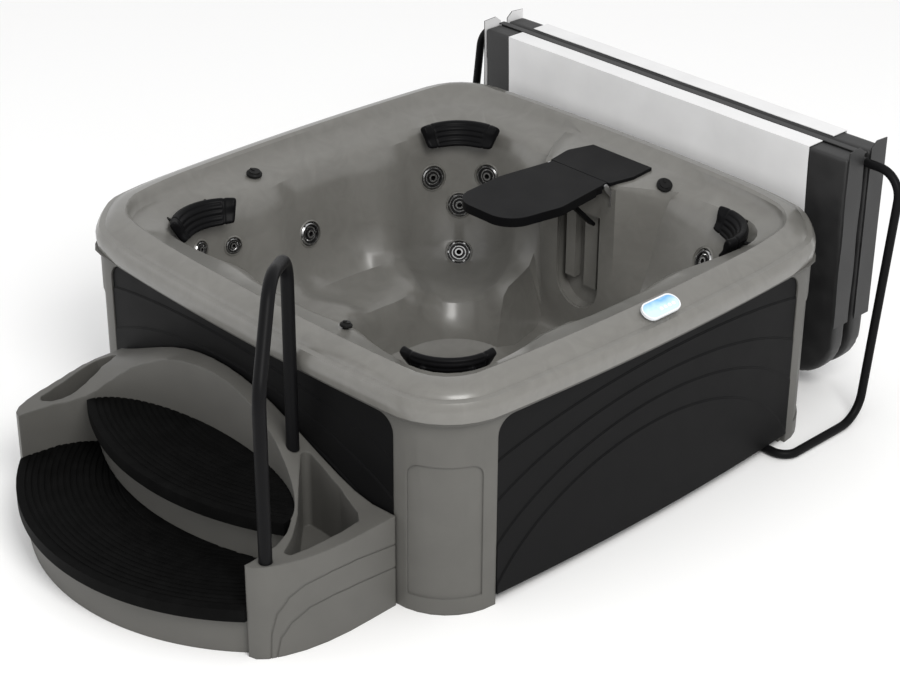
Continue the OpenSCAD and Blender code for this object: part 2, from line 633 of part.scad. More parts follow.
// Steel hinge: a wall plate with two lugs and the pin that the leaf turns on
module table_hinge() {
  plate_y = filter_front - 0.3;
  color(c_chrome) translate([table_x, 0, 0]) {
    translate([-hinge_w / 2, hinge_y, hinge_z]) rotate([0, 90, 0]) translate([0, 0, -5])
      cylinder(r = pin_r, h = hinge_w + 10);
    for (s = [-1, 1]) {
      translate([s * (hinge_w / 2 + 4.5) - 3, plate_y - 3, 706]) cube([6, 3, 62]);
      translate([s * (hinge_w / 2 + 4.5) - 3, 0, 0]) rotate([90, 0, 90]) linear_extrude(6)
        polygon([[plate_y - 1, 740], [plate_y - 1, 766], [hinge_y + 9, hinge_z + 4],
          [hinge_y + 5, hinge_z + 9], [hinge_y - 5, hinge_z + 9], [hinge_y - 9, hinge_z + 4],
          [hinge_y - 9, hinge_z - 6]]);
    }
  }
}
module table_strut() {
  color(c_black) translate([table_x + strut_x, hinge_y - strut_back, strut_z]) {
    translate([-24, 0, 0]) rotate([0, 90, 0]) cylinder(r = pin_r, h = 48);
    rotate([-45, 0, 0]) {
      translate([-13, 0, -strut_r]) cube([26, strut_l, 2 * strut_r]);
      for (y = [0, strut_l]) translate([-13, y, 0]) rotate([0, 90, 0]) cylinder(r = strut_r, h = 26);
    }
  }
}

// Suction cover in the foot well's floor
module drain_cover() {
  color(c_black) translate([60, -60, well_h + 0.4]) difference() {
    union() {
      cylinder(r = 100, h = 6);
      translate([0, 0, 6]) cylinder(r1 = 100, r2 = 70, h = 14, $fn = 60);
    }
    for (t = [0:30:330]) rotate([0, 0, t]) translate([45, -3, 8]) cube([30, 6, 20]);
  }
}

// Pump, heater, control box and pipes between the shell and the +X panel
pump_x = 800;
module pump() {
  color([0.25, 0.26, 0.28]) translate([pump_x, -260, 0]) {
    translate([0, 0, 150]) rotate([-90, 0, 0]) cylinder(r = 72, h = 230);
    translate([0, -60, 150]) rotate([-90, 0, 0]) cylinder(r = 88, h = 61);
    translate([0, -100, 150]) rotate([-90, 0, 0]) cylinder(r = 30, h = 42);
    translate([0, -30, 200]) cylinder(r = 30, h = 90);
    translate([-60, 20, pan_top]) cube([120, 170, 60]);
  }
}
module heater() {
  color(c_chrome) translate([pump_x, 120, pan_top + 60]) rotate([-90, 0, 0]) difference() {
    union() {
      cylinder(r = 32, h = 330);
      cylinder(r = 42, h = 30);
      translate([0, 0, 300]) cylinder(r = 42, h = 30);
      translate([-25, 0, 60]) cube([50, 60, 20]);
      translate([-25, 0, 250]) cube([50, 60, 20]);
    }
    translate([0, 0, -1]) cylinder(r = 28, h = 332);
  }
}
module control_box() {
  color([0.75, 0.76, 0.78]) translate([pump_x - 70, 150, pan_top + 104]) {
    cube([140, 270, 110]);
    translate([0, 60, -104]) cube([20, 20, 105]);
    translate([120, 60, -104]) cube([20, 20, 105]);
    translate([0, 190, -104]) cube([20, 20, 105]);
    translate([120, 190, -104]) cube([20, 20, 105]);
  }
}
module pipework() {
  color([0.85, 0.85, 0.83]) {
    bent_tube([[pump_x, -360.3, 150], [pump_x, -470, 150], [pump_x - 130, -560, 150]], [60], 24);
    bent_tube([[pump_x, -290, 290.3], [pump_x, -290, 380], [pump_x, 25, 380], [pump_x, 25, 106],
      [pump_x, 119.7, 106]], [50, 50, 50], 24);
  }
}

// A tube along points, with a bend radius at each inner point; a fine collar closes each joint
collar = 0.06;
module bent_tube(pts, bends, r) {
  n = len(pts);
  dirs = [for (i = [0:n - 2]) unit(pts[i + 1] - pts[i])];
  turns = [for (i = [0:n - 3]) acos(dirs[i] * dirs[i + 1])];
  cuts = concat([0], [for (i = [0:n - 3]) bends[i] * tan(turns[i] / 2)], [0]);
  for (i = [0:n - 2]) {
    short_a = i > 0 ? 0.5 : 0;
    short_b = i < n - 2 ? 0.5 : 0;
    a = pts[i] + (cuts[i] + short_a) * dirs[i];
    b = pts[i + 1] - (cuts[i + 1] + short_b) * dirs[i];
    along(a, dirs[i]) cylinder(r = r, h = norm(b - a));
    if (i > 0) along(pts[i] + (cuts[i] - 1) * dirs[i], dirs[i]) cylinder(r = r + collar, h = 3);
    if (i < n - 2) along(pts[i + 1] - (cuts[i + 1] + 2) * dirs[i], dirs[i])
      cylinder(r = r + collar, h = 3);
  }
  for (i = [0:n - 3]) {
    u = dirs[i];
    w = unit(dirs[i + 1] - (u * dirs[i + 1]) * u);
    s = pts[i + 1] - cuts[i + 1] * u + bends[i] * w;
    z = cross(-w, u);
    multmatrix([[-w[0], u[0], z[0], s[0]], [-w[1], u[1], z[1], s[1]], [-w[2], u[2], z[2], s[2]],
      [0, 0, 0, 1]]) rotate_extrude(angle = turns[i]) translate([bends[i], 0]) circle(r = r);
  }
}
module along(p, d) {
  ax = abs(d[2]) > 0.9 ? unit(cross([0, 1, 0], d)) : unit(cross([0, 0, 1], d));
  ay = cross(d, ax);
  multmatrix([[ax[0], ay[0], d[0], p[0]], [ax[1], ay[1], d[1], p[1]], [ax[2], ay[2], d[2], p[2]],
    [0, 0, 0, 1]]) children();
}

// Entry steps, drawn from their own middle; each arc has its radius and the y of its front
step_x = 33;
step_y = 38;
step_clear = 9;
front_r = 845;
front_y = front_r - 1722;
nose_low_r = 852;
nose_low_y = nose_low_r - 1757;
riser_r = 1040;
riser_y = riser_r - 1385;
nose_high_r = 1000;
nose_high_y = nose_high_r - 1430;
bay = [520, 210, -1290];
lip = 45;
block_in = 600;
// Outer edge of a side block and the edge that it turns to the treads
block_edge = [[598, -1502], [625, -1494], [650, -1466], [672, -1418], [693, -1352], [706, -1275],
  [711, -1190], [709, -1090], [703, -900]];
block_inner = [[598, -1560], [598, -1478], [583, -1367], [552, -1300], [505, -1240]];
module arc_disc(r, y) { translate([0, y]) circle(r = r, $fn = 240); }
module step_ground() {
  difference() {
    union() {
      intersection() {
        arc_disc(front_r, front_y);
        translate([-block_in, -1800]) square([2 * block_in, 900]);
      }
      for (s = [0, 1]) mirror([s, 0])
        polygon(concat(block_edge, [[block_in - 20, -900], [block_in - 20, -1400], [block_in - 2, -1478]]));
    }
    translate([-step_x, -step_y]) square_outline(cab_half + step_clear, cab_corner_r + step_clear);
  }
}
module side_blocks() {
  for (s = [0, 1]) mirror([s, 0]) polygon(concat(block_inner, [[505, -900], [900, -900], [900, -1560]]));
}
// Where the lower tread lies, out to its nose
module low_zone() {
  difference() {
    arc_disc(nose_low_r, nose_low_y);
    arc_disc(riser_r, riser_y);
    side_blocks();
  }
}
// Where the upper tread lies: between its nose and the curved back
module bay_outline() {
  translate([0, bay[2]]) scale([bay[0] / 100, bay[1] / 100]) circle(r = 100, $fn = 120);
}
module high_zone() {
  intersection() {
    arc_disc(nose_high_r, nose_high_y);
    union() {
      bay_outline();
      translate([0, -1290 - 60]) square([2 * bay[0] - 16, 120], center = true);
    }
  }
}
// Height of the top over the ground plan: an arch along the back that sinks towards the front
arch_mid = -104;
arch_foot = 316;
function arch_z(x) = let (d = min(1, abs(x - arch_mid) / 830))
  mix(arch_foot, back_h, 0.5 + 0.5 * cos(180 * pow(d, 1.06)));
function top_z(x, y) = let (edge = arch_foot + 19)
  max(edge, mix(edge, arch_z(x), ramp(y, -1330, -1110)));
grid_x = [for (i = [0:20]) -760 + 76 * i];
grid_y = [-1780, -1330, -1275, -1220, -1165, -1110, -1040, -940];
module top_block(drop) {
  nx = len(grid_x);
  ny = len(grid_y);
  pts = concat([for (y = grid_y) for (x = grid_x) [x, y, top_z(x, y) - drop]],
    [for (y = grid_y) for (x = grid_x) [x, y, -2]]);
  m = nx * ny;
  polyhedron(pts, concat(
    [for (j = [0:ny - 2]) for (i = [0:nx - 2]) let (a = j * nx + i)
      each [[a, a + nx, a + 1], [a + 1, a + nx, a + nx + 1]]],
    [for (j = [0:ny - 2]) for (i = [0:nx - 2]) let (a = m + j * nx + i)
      each [[a, a + 1, a + nx], [a + 1, a + nx + 1, a + nx]]],
    [for (i = [0:nx - 2]) each [[i, i + 1, m + i], [i + 1, m + i + 1, m + i]]],
    [for (i = [0:nx - 2]) let (a = (ny - 1) * nx + i) each [[a, m + a, a + 1], [a + 1, m + a, m + a + 1]]],
    [for (j = [0:ny - 2]) let (a = j * nx) each [[a, m + a, a + nx], [a + nx, m + a, m + a + nx]]],
    [for (j = [0:ny - 2]) let (a = j * nx + nx - 1)
      each [[a, a + nx, m + a], [a + nx, m + a + nx, m + a]]]));
}
// Grab wells in the side blocks: a wide one on the right and a slim one on the left
right_well = [[345, -1068], [340, -1038], [400, -1036], [500, -1040], [612, -1066], [650, -1095],
  [660, -1170], [660, -1300], [652, -1368], [628, -1378], [578, -1300], [510, -1222], [430, -1150]];
left_well = [[-636, -1392], [-606, -1366], [-590, -1300], [-585, -1200], [-598, -1120], [-630, -1074],
  [-662, -1074], [-682, -1120], [-682, -1200], [-674, -1300], [-657, -1372]];
well_floor = 150;
module well_outline(pts, grow) {
  offset(r = 16 + grow, $fn = 48) offset(delta = -16) polygon(pts);
}
module step_body(inset) {
  difference() {
    intersection() {
      top_block(inset);
      translate([0, 0, -1]) linear_extrude(900) offset(delta = -inset) step_ground();
    }
    translate([0, 0, tread_low - mat_t - inset]) linear_extrude(900) offset(delta = inset) low_zone();
    translate([0, 0, tread_high - mat_t - inset]) linear_extrude(900) offset(delta = inset) high_zone();
    for (w = [right_well, left_well]) translate([0, 0, well_floor - inset]) linear_extrude(900)
      well_outline(w, inset);
  }
}
// Swept lines engraved in the side block's outer face, as (y, height) points
swoosh = [
  [[-1461, 2], [-1457, 93], [-1440, 162], [-1402, 213], [-1354, 242], [-1261, 255], [-1162, 254],
    [-980, 230]],
  [[-1444, 2], [-1431, 72], [-1398, 118], [-1340, 155], [-1261, 166], [-1162, 164], [-980, 146]]];
swoosh_w = 5;
swoosh_depth = 2.5;
module engraving() {
  intersection() {
    rotate([90, 0, 90]) translate([0, 0, 560]) linear_extrude(200) for (line = swoosh)
      polygon(concat(line, [for (i = [len(line) - 1:-1:0]) line[i] + [swoosh_w * 0.8, -swoosh_w]]));
    difference() {
      linear_extrude(300) offset(delta = 5) step_ground();
      translate([0, 0, -1]) linear_extrude(302) offset(delta = -swoosh_depth) step_ground();
    }
  }
}
module step_shell() {
  color(c_shell) translate([step_x, step_y, 0]) difference() {
    intersection() {
      step_body(0);
      translate([-1000, -2000, 0]) cube([2000, 2000, 900]);
    }
    step_body(step_wall);
    engraving();
    for (b = rail_feet) translate([b[0] - step_x, b[1] - step_y, 200]) cylinder(r = rail_d / 2 + 0.3, h = 400);
  }
}
// A tread mat is a plate with a lip that hangs over the riser, and fine grooves along its nose
groove_w = 7;
module grooves(r, y, count, pitch, top) {
  translate([0, y, top - 2.5]) for (i = [0:count - 1]) difference() {
    cylinder(r = r - 30 - pitch * i, h = 5);
    translate([0, 0, -1]) cylinder(r = r - 30 - pitch * i - groove_w, h = 7);
  }
}
module lower_tread() {
  color(c_black) translate([step_x, step_y, seat_gap]) difference() {
    union() {
      translate([0, 0, tread_low - mat_t]) linear_extrude(mat_t) offset(delta = -1.5) low_zone();
      translate([0, 0, tread_low - lip]) linear_extrude(lip) difference() {
        offset(delta = -1.5) low_zone();
        arc_disc(front_r + seat_gap, front_y);
      }
    }
    grooves(nose_low_r, nose_low_y, 15, 21, tread_low);
  }
}
module upper_tread() {
  color(c_black) translate([step_x, step_y, seat_gap]) difference() {
    union() {
      translate([0, 0, tread_high - mat_t]) linear_extrude(mat_t) offset(delta = -1.5) high_zone();
      translate([0, 0, tread_high - lip]) linear_extrude(lip) difference() {
        offset(delta = -1.5) high_zone();
        arc_disc(riser_r + seat_gap, riser_y);
      }
    }
    grooves(nose_high_r, nose_high_y, 14, 21, tread_high);
  }
}

// Handrail: front leg, kink and the bend down to the rear leg
rail_feet = [[661, -1408], [346, -1035]];
rail_kink = 903;
module handrail() {
  f = rail_feet[0];
  b = rail_feet[1];
  mid = mix(f, b, 0.46);
  color(c_black) bent_tube([[f[0], f[1], 220], [f[0], f[1], rail_kink], [mid[0], mid[1], rail_top + 85],
    [b[0], b[1], rail_top + 25], [b[0], b[1], 300]], [150, 130, 110], rail_d / 2);
}

// Lifter: one bent tube from side to side under the tub, up both sides and through the fold
arm_x = 1038;
run_y = 1030;
top_bend = 95;
module lifter_frame() {
  low = [0, pivot_y, tube_r + 2];
  top = [0, fold_y, bar_z];
  color(c_black) {
    for (s = [-1, 1]) bent_tube([
      [s, low[1], low[2]], [s * arm_x, low[1], low[2]], [s * arm_x, run_y, low[2]],
      [s * arm_x, top[1], top[2]], [s, top[1], top[2]]], [60, 110, top_bend], tube_r);
    translate([-60, low[1], low[2]]) rotate([0, 90, 0]) cylinder(r = tube_r + 3, h = 120);
    translate([-3, top[1], top[2]]) rotate([0, 90, 0]) cylinder(r = tube_r + collar, h = 6);
  }
}
bearing_x = rim_half - 109.5;
module lifter_bearings() {
  color(c_black) for (s = [-1, 1]) difference() {
    translate([s * (bearing_x + 14) - 14, pivot_y - 30, 0]) cube([28, 60, pan_top - 8]);
    translate([s * (bearing_x + 14) - 20, pivot_y, tube_r + 2]) rotate([0, 90, 0])
      cylinder(r = tube_r + 0.05, h = 40);
  }
}

// Cover halves, hanging from the fold; side = -1 is the half next to the tub
cover_top = bar_z + tube_r + 21;
fold_gap = tube_r + 1.3;
cover_r = 190;
cover_shift = -16;
module cover_face(inset) {
  w = cover_half - inset;
  translate([0, cover_top]) hull() {
    translate([-w, -1 - inset]) square([2 * w, 1]);
    for (s = [-1, 1]) translate([s * (w - cover_r + inset), -cover_l + cover_r])
      circle(r = cover_r - inset);
  }
}
function cover_profile(inset) = [[fold_gap + inset, -inset],
  [fold_gap + inset, -cover_l + inset],
  [fold_gap + foam_edge - inset, -cover_l + inset],
  [fold_gap + foam_fold - inset, -inset]];
// Runs a side profile, drawn as (away from the fold plane, below the top), across the cover
module cover_run(side, w) {
  translate([cover_shift, fold_y, cover_top]) mirror([0, side < 0 ? 1 : 0, 0])
    rotate([90, 0, 90]) translate([0, 0, -w]) linear_extrude(2 * w) children();
}
module cover_slab(side, inset) {
  intersection() {
    cover_run(side, cover_half - inset) polygon(cover_profile(inset));
    translate([cover_shift, fold_y + 300, 0]) rotate([90, 0, 0]) linear_extrude(600) cover_face(inset);
  }
}
module jacket(side) {
  color(c_vinyl) difference() {
    cover_slab(side, 0);
    cover_slab(side, jacket_t);
  }
}
module core(side) {
  color(c_white) cover_slab(side, jacket_t);
}
// White lining of the underside, carried up over the hinge edge
liner_half = 746;
liner_shift = -17;
module liner(side) {
  o = fold_gap + foam_fold;
  back = (foam_fold - foam_edge) * 0.93;
  color(c_white) translate([liner_shift, 0, 0]) cover_run(side, liner_half) polygon([
    [o, -60], [o, 0], [fold_gap + 14, 0], [fold_gap + 14, 2.5], [o + 2.5, 2.5],
    [o + 2.5 - back, -cover_l * 0.93], [o - back, -cover_l * 0.93]]);
}
// Skirt plates at the two ends of a half, standing a little above the fold
module skirt(side) {
  color(c_vinyl) for (s = [-1, 1]) intersection() {
    cover_run(side, cover_half + 4.5) polygon([[fold_gap + 2, -cover_l + 250],
      [fold_gap + 2, 12], [fold_gap + 30, 34], [fold_gap + foam_fold, 30],
      [fold_gap + foam_fold - 4, -cover_l + 250]]);
    translate([cover_shift + (s > 0 ? cover_half + 0.3 : -cover_half - 4.3), fold_y - 300, 0])
      cube([4, 600, 1400]);
  }
}
// Flexible strip that lies over the lifter's bar and is sewn to the near half's top
strip_fit = 0.3;
module hinge_strip() {
  drop = cover_top - bar_z;
  color(c_black) cover_run(-1, cover_half) {
    intersection() {
      difference() {
        translate([0, -drop]) circle(r = fold_gap - 0.2);
        translate([0, -drop]) circle(r = tube_r + strip_fit);
      }
      translate([-40, -drop]) square([80, 40]);
    }
    translate([fold_gap - 3.2, -drop + 8]) square([3, drop - 5]);
    translate([2, 0.3]) square([fold_gap + 10, 4]);
  }
}

tub_shell();
cabinet();
side_panel(0, 0);  // panel_right
side_panel(270, 1);  // panel_front
side_panel(90, 1);  // panel_back
side_panel(180, 0);  // panel_left
base_pan();
control_bezel();
control_face();
button(0);  // button_1
button(1);  // button_2
button(2);  // button_3
button(3);  // button_4
knob(0);  // knob_left
knob(1);  // knob_back
knob(2);  // knob_seats
jet_sockets();
jet_bodies();
jet_face(0);  // jet_back_1
jet_face(1);  // jet_back_2
jet_face(2);  // jet_back_3
jet_face(3);  // jet_back_4
jet_face(4);  // jet_side
jet_face(5);  // jet_left_1
jet_face(6);  // jet_left_2
jet_face(7);  // jet_right_1
jet_face(8);  // jet_right_2
jet_face(9);  // jet_front
ledge_cap();
pillow(0);  // pillow_left
pillow(1);  // pillow_back
pillow(2);  // pillow_right
pillow(3);  // pillow_near
filter_housing();
filter_cartridge();
filter_lid();
table_leaf();
table_strut();
table_hinge();
drain_cover();
pump();
heater();
control_box();
pipework();
step_shell();
lower_tread();
upper_tread();
handrail();
lifter_frame();
lifter_bearings();
jacket(-1);  // near_jacket
core(-1);  // near_core
liner(-1);  // near_liner
skirt(-1);  // near_skirt
hinge_strip();
jacket(1);  // far_jacket
core(1);  // far_core
liner(1);  // far_liner
skirt(1);  // far_skirt
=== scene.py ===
"""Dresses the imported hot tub: materials, moulded pillows, padded cover, lights and camera.

Every length is in metres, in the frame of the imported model: +Z up, the floor at z = 0, the control
panel on the +X side, the steps at -Y and the folded cover behind the +Y side.
"""

from __future__ import annotations

import json
import logging
import math
from dataclasses import dataclass
from enum import Enum
from typing import Callable, Iterable, Sequence

import bmesh
import bpy
from mathutils import Matrix, Vector

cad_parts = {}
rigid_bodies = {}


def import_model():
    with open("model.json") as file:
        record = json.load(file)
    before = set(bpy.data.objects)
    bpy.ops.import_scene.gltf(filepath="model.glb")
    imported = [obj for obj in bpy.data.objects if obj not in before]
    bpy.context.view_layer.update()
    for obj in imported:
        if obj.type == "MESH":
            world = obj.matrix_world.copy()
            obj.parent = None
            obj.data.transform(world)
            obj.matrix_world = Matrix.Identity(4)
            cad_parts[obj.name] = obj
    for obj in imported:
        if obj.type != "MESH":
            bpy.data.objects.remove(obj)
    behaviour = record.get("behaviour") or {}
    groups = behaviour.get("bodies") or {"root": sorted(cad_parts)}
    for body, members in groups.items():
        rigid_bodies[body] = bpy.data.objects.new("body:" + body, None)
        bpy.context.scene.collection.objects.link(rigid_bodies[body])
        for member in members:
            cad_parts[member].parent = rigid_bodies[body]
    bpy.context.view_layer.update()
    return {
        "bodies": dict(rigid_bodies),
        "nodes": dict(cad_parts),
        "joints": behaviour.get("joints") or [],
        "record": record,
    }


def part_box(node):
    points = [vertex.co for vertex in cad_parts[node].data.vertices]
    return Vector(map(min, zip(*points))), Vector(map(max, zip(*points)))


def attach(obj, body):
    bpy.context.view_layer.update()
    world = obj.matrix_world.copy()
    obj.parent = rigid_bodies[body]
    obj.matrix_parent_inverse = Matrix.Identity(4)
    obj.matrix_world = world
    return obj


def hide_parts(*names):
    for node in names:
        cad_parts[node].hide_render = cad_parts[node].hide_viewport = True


log = logging.getLogger("hot_tub")
Colour = tuple[float, float, float]
MERGE = 0.00002
WORLD_STRENGTH = 0.84
DARK_SHINE = 0.07
FLAP_LINED = -0.5
BLACK: Colour = (0, 0, 0)
WHITE: Colour = (1, 1, 1)
JET_DARK_TONE: Colour = (0.012, 0.012, 0.012)
JET_BRIGHT_TONE: Colour = (0.5, 0.5, 0.5)
# Bright rings of a jet face, as shares of its radius, and how softly they end
JET_RINGS = ((0.24, 0.34), (0.56, 0.62), (0.86, 1.1))
RING_BLUR = 0.02
SENSOR_MM = 36
VIEW_END = 200
FLOOR_HALF = 40
FLOOR_DROP = 0.0005
FLOOR_WHITE = 0.99
SMOOTH_NODES = (
    "tub_shell", "cabinet", "panel_right", "panel_front", "panel_back", "panel_left", "control_bezel",
    "knob_left", "knob_back", "knob_seats", "jet_sockets", "jet_bodies", "ledge_cap", "filter_housing",
    "filter_lid", "table_leaf", "table_strut", "drain_cover", "step_shell", "lower_tread", "upper_tread",
    "handrail", "lifter_frame", "hinge_strip",
)


# The photograph's view

@dataclass(frozen=True)
class Viewpoint:
    """Where the photograph was taken from.

    Args:
        eye: the camera's place.
        back: the unit vector from the subject towards the camera.
        roll_deg: the camera's turn about its own axis.
        lens_mm: the focal length on a 36 mm wide sensor.
    """

    eye: Vector
    back: Vector
    roll_deg: float
    lens_mm: float

    def matrix(self) -> Matrix:
        """Works out the camera's placement.

        Returns:
            The camera's world matrix.
        """
        level = Vector((0, 0, 1)).cross(self.back).normalized()
        rise = self.back.cross(level)
        c = math.cos(math.radians(self.roll_deg))
        s = math.sin(math.radians(self.roll_deg))
        right = level * c + rise * s
        up = rise * c - level * s
        columns = Matrix((right, up, self.back)).transposed().to_4x4()
        return Matrix.Translation(self.eye) @ columns


PHOTO_VIEW = Viewpoint(
    eye=Vector((4.8913, -4.6980, 3.9710)),
    back=Vector((0.63638547, -0.60844737, 0.47413641)),
    roll_deg=0.3414,
    lens_mm=86.19,
)


# Shader building

class Value:
    """A node's output socket that reads as a number or a vector in expressions."""

    def __init__(self, shader: "Shader", socket: bpy.types.NodeSocket):
        self.shader = shader
        self.socket = socket

    def _math(self, kind: str, other: "Value | float") -> "Value":
        node = self.shader.tree.nodes.new("ShaderNodeMath")
        node.operation = kind
        self.shader.feed(node.inputs[0], self)
        self.shader.feed(node.inputs[1], other)
        return Value(self.shader, node.outputs[0])

    def __add__(self, other: "Value | float") -> "Value":
        return self._math("ADD", other)

    def __sub__(self, other: "Value | float") -> "Value":
        return self._math("SUBTRACT", other)

    def __mul__(self, other: "Value | float") -> "Value":
        return self._math("MULTIPLY", other)

    def maximum(self, other: "Value | float") -> "Value":
        """Returns the larger of this and the other."""
        return self._math("MAXIMUM", other)

    def sine(self) -> "Value":
        """Returns the sine of this, in radians."""
        return self._math("SINE", 0.0)

    def root(self) -> "Value":
        """Returns the square root of this."""
        return self._math("SQRT", 0.0)


class Shader:
    """A principled material under construction.

    Args:
        name: the material's name.
        edge: the radius that the moulding's edges are softened by.
    """

    def __init__(self, name: str, edge: float = 0.0):
        self.edge = edge
        self.material = bpy.data.materials.new(name)
        self.material.use_nodes = True
        self.tree = self.material.node_tree
        self.bsdf = self.tree.nodes["Principled BSDF"]

    def feed(self, target: bpy.types.NodeSocket, source: "Value | float | Sequence[float]") -> None:
        """Links a value to a socket, or sets the socket to a constant.

        Args:
            target: the input socket.
            source: a value to link, or a constant.
        """
        if isinstance(source, Value):
            self.tree.links.new(source.socket, target)
        else:
            target.default_value = source

    def set(self, **inputs: "Value | float | Sequence[float]") -> "Shader":
        """Feeds the principled shader's inputs, named with underscores for spaces.

        Returns:
            This shader, for chaining.
        """
        for key, value in inputs.items():
            self.feed(self.bsdf.inputs[key.replace("_", " ")], value)
        return self

    def place(self) -> Value:
        """Returns the point in the object's own frame, in metres."""
        node = self.tree.nodes.new("ShaderNodeTexCoord")
        return Value(self, node.outputs["Object"])

    def axes(self, point: Value) -> tuple[Value, Value, Value]:
        """Returns the x, y and z parts of a vector."""
        node = self.tree.nodes.new("ShaderNodeSeparateXYZ")
        self.feed(node.inputs[0], point)
        return tuple(Value(self, out) for out in node.outputs)

    def projected(self, point: Value, centre: Vector, direction: Vector) -> Value:
        """Returns how far a point lies from a centre along a direction.

        Args:
            point: the point.
            centre: where the distance is 0.
            direction: the direction, whose length scales the distance.
        """
        arm = self.tree.nodes.new("ShaderNodeVectorMath")
        arm.operation = "SUBTRACT"
        self.feed(arm.inputs[0], point)
        arm.inputs[1].default_value = centre
        dot = self.tree.nodes.new("ShaderNodeVectorMath")
        dot.operation = "DOT_PRODUCT"
        self.tree.links.new(arm.outputs["Vector"], dot.inputs[0])
        dot.inputs[1].default_value = direction
        return Value(self, dot.outputs["Value"])

    def noise(self, point: Value, scale: float, detail: float = 3.0, twist: float = 0.0) -> Value:
        """Returns fractal noise from 0 to 1.

        Args:
            point: where to look it up.
            scale: features per metre.
            detail: octaves.
            twist: distortion.
        """
        node = self.tree.nodes.new("ShaderNodeTexNoise")
        self.feed(node.inputs["Vector"], point)
        node.inputs["Scale"].default_value = scale
        node.inputs["Detail"].default_value = detail
        node.inputs["Distortion"].default_value = twist
        return Value(self, node.outputs[0])

    def cells(self, point: Value, scale: float, feature: str = "F1") -> Value:
        """Returns the distance to the nearest cell centre or edge.

        Args:
            point: where to look it up.
            scale: cells per metre.
            feature: Voronoi feature, such as F1 or DISTANCE_TO_EDGE.
        """
        node = self.tree.nodes.new("ShaderNodeTexVoronoi")
        node.feature = feature
        self.feed(node.inputs["Vector"], point)
        node.inputs["Scale"].default_value = scale
        return Value(self, node.outputs["Distance"])

    def ramp(self, factor: Value, stops: Sequence[tuple[float, Colour]]) -> Value:
        """Returns a colour from a gradient.

        Args:
            factor: the place in the gradient.
            stops: positions and colours, in order.
        """
        node = self.tree.nodes.new("ShaderNodeValToRGB")
        self.feed(node.inputs[0], factor)
        while len(node.color_ramp.elements) < len(stops):
            node.color_ramp.elements.new(0.5)
        for element, (place, colour) in zip(node.color_ramp.elements, stops):
            element.position = place
            element.color = (*colour, 1)
        return Value(self, node.outputs[0])

    def between(self, factor: Value, low: float, high: float) -> Value:
        """Returns the factor mapped from 0 and 1 to low and high."""
        return factor * (high - low) + low

    def bump(self, height: Value, depth: float, strength: float = 1.0) -> "Shader":
        """Bumps the surface.

        Args:
            height: the height field, from 0 to 1.
            depth: the height of 1, in metres.
            strength: how much of it shows.

        Returns:
            This shader, for chaining.
        """
        node = self.tree.nodes.new("ShaderNodeBump")
        node.inputs["Distance"].default_value = depth
        node.inputs["Strength"].default_value = strength
        self.feed(node.inputs["Height"], height)
        if self.edge > 0:
            soft = self.tree.nodes.new("ShaderNodeBevel")
            soft.samples = 4
            soft.inputs["Radius"].default_value = self.edge
            self.tree.links.new(soft.outputs[0], node.inputs["Normal"])
        self.tree.links.new(node.outputs[0], self.bsdf.inputs["Normal"])
        return self


class Finish(Enum):
    """The record's material slots."""

    ACRYLIC = "acrylic"
    CABINET = "cabinet_grey"
    PANEL = "panel_black"
    PAN = "pan_black"
    CHROME = "chrome"
    JET_DARK = "jet_dark"
    KNOB = "knob_dark"
    PILLOW = "pillow"
    BEZEL = "bezel"
    TOPSIDE = "topside_face"
    BUTTON = "button"
    TABLE = "table_black"
    STEEL = "steel"
    PLEATS = "filter_pleats"
    MAT = "mat"
    RAIL = "rail_black"
    LIFTER = "lifter_black"
    VINYL = "vinyl"
    FOAM = "foam"
    LINER = "liner"
    PUMP = "pump_grey"
    BOX = "box_grey"
    PIPE = "pipe_white"


def tint(colour: Colour, factor: float) -> Colour:
    """Returns a colour made lighter or darker."""
    return tuple(min(1.0, c * factor) for c in colour)


def moulded(name: str, colour: Colour, rough: float, grain: float = 900, depth: float = 0.0002,
            edge: float = 0.0, shine: float = 0.5) -> Shader:
    """A moulded plastic with a fine grain and slight cloudiness.

    Args:
        name: the material's name.
        colour: its mean colour.
        rough: its mean roughness.
        grain: grain marks per metre.
        depth: the grain's depth in metres.
        edge: the radius that its edges are softened by.
        shine: how strongly it mirrors its surroundings.
    """
    sh = Shader(name, edge)
    here = sh.place()
    cloud = sh.noise(here, 9, 4)
    speck = sh.noise(here, grain, 2)
    colours = sh.ramp(cloud, [(0.3, tint(colour, 0.95)), (0.7, tint(colour, 1.05))])
    sh.set(Base_Color=colours, Roughness=sh.between(cloud, rough - 0.08, rough + 0.08),
           Specular_IOR_Level=shine)
    return sh.bump(speck, depth, 0.35)


def acrylic() -> Shader:
    """Glossy marbled acrylic of the tub shell."""
    sh = Shader("marbled_acrylic")
    here = sh.place()
    veins = sh.noise(here, 11, 7, 1.6)
    fleck = sh.noise(here, 260, 3)
    marble = sh.ramp(veins * 0.85 + fleck * 0.15, [
        (0.30, (0.143, 0.139, 0.128)),
        (0.50, (0.156, 0.152, 0.140)),
        (0.72, (0.170, 0.166, 0.153)),
    ])
    sh.set(Base_Color=marble, Roughness=sh.between(veins, 0.26, 0.36), Coat_Weight=0.25,
           Coat_Roughness=0.2)
    return sh.bump(fleck, 0.00012, 0.25)


def vinyl() -> Shader:
    """Charcoal grained marine vinyl."""
    sh = Shader("grained_vinyl")
    here = sh.place()
    grain = sh.cells(here, 650)
    wear = sh.noise(here, 14, 4)
    colour = sh.ramp(wear, [(0.3, (0.014, 0.014, 0.0145)), (0.7, (0.022, 0.022, 0.0225))])
    sh.set(Base_Color=colour, Roughness=sh.between(wear, 0.42, 0.6))
    return sh.bump(grain, 0.0004, 0.5)


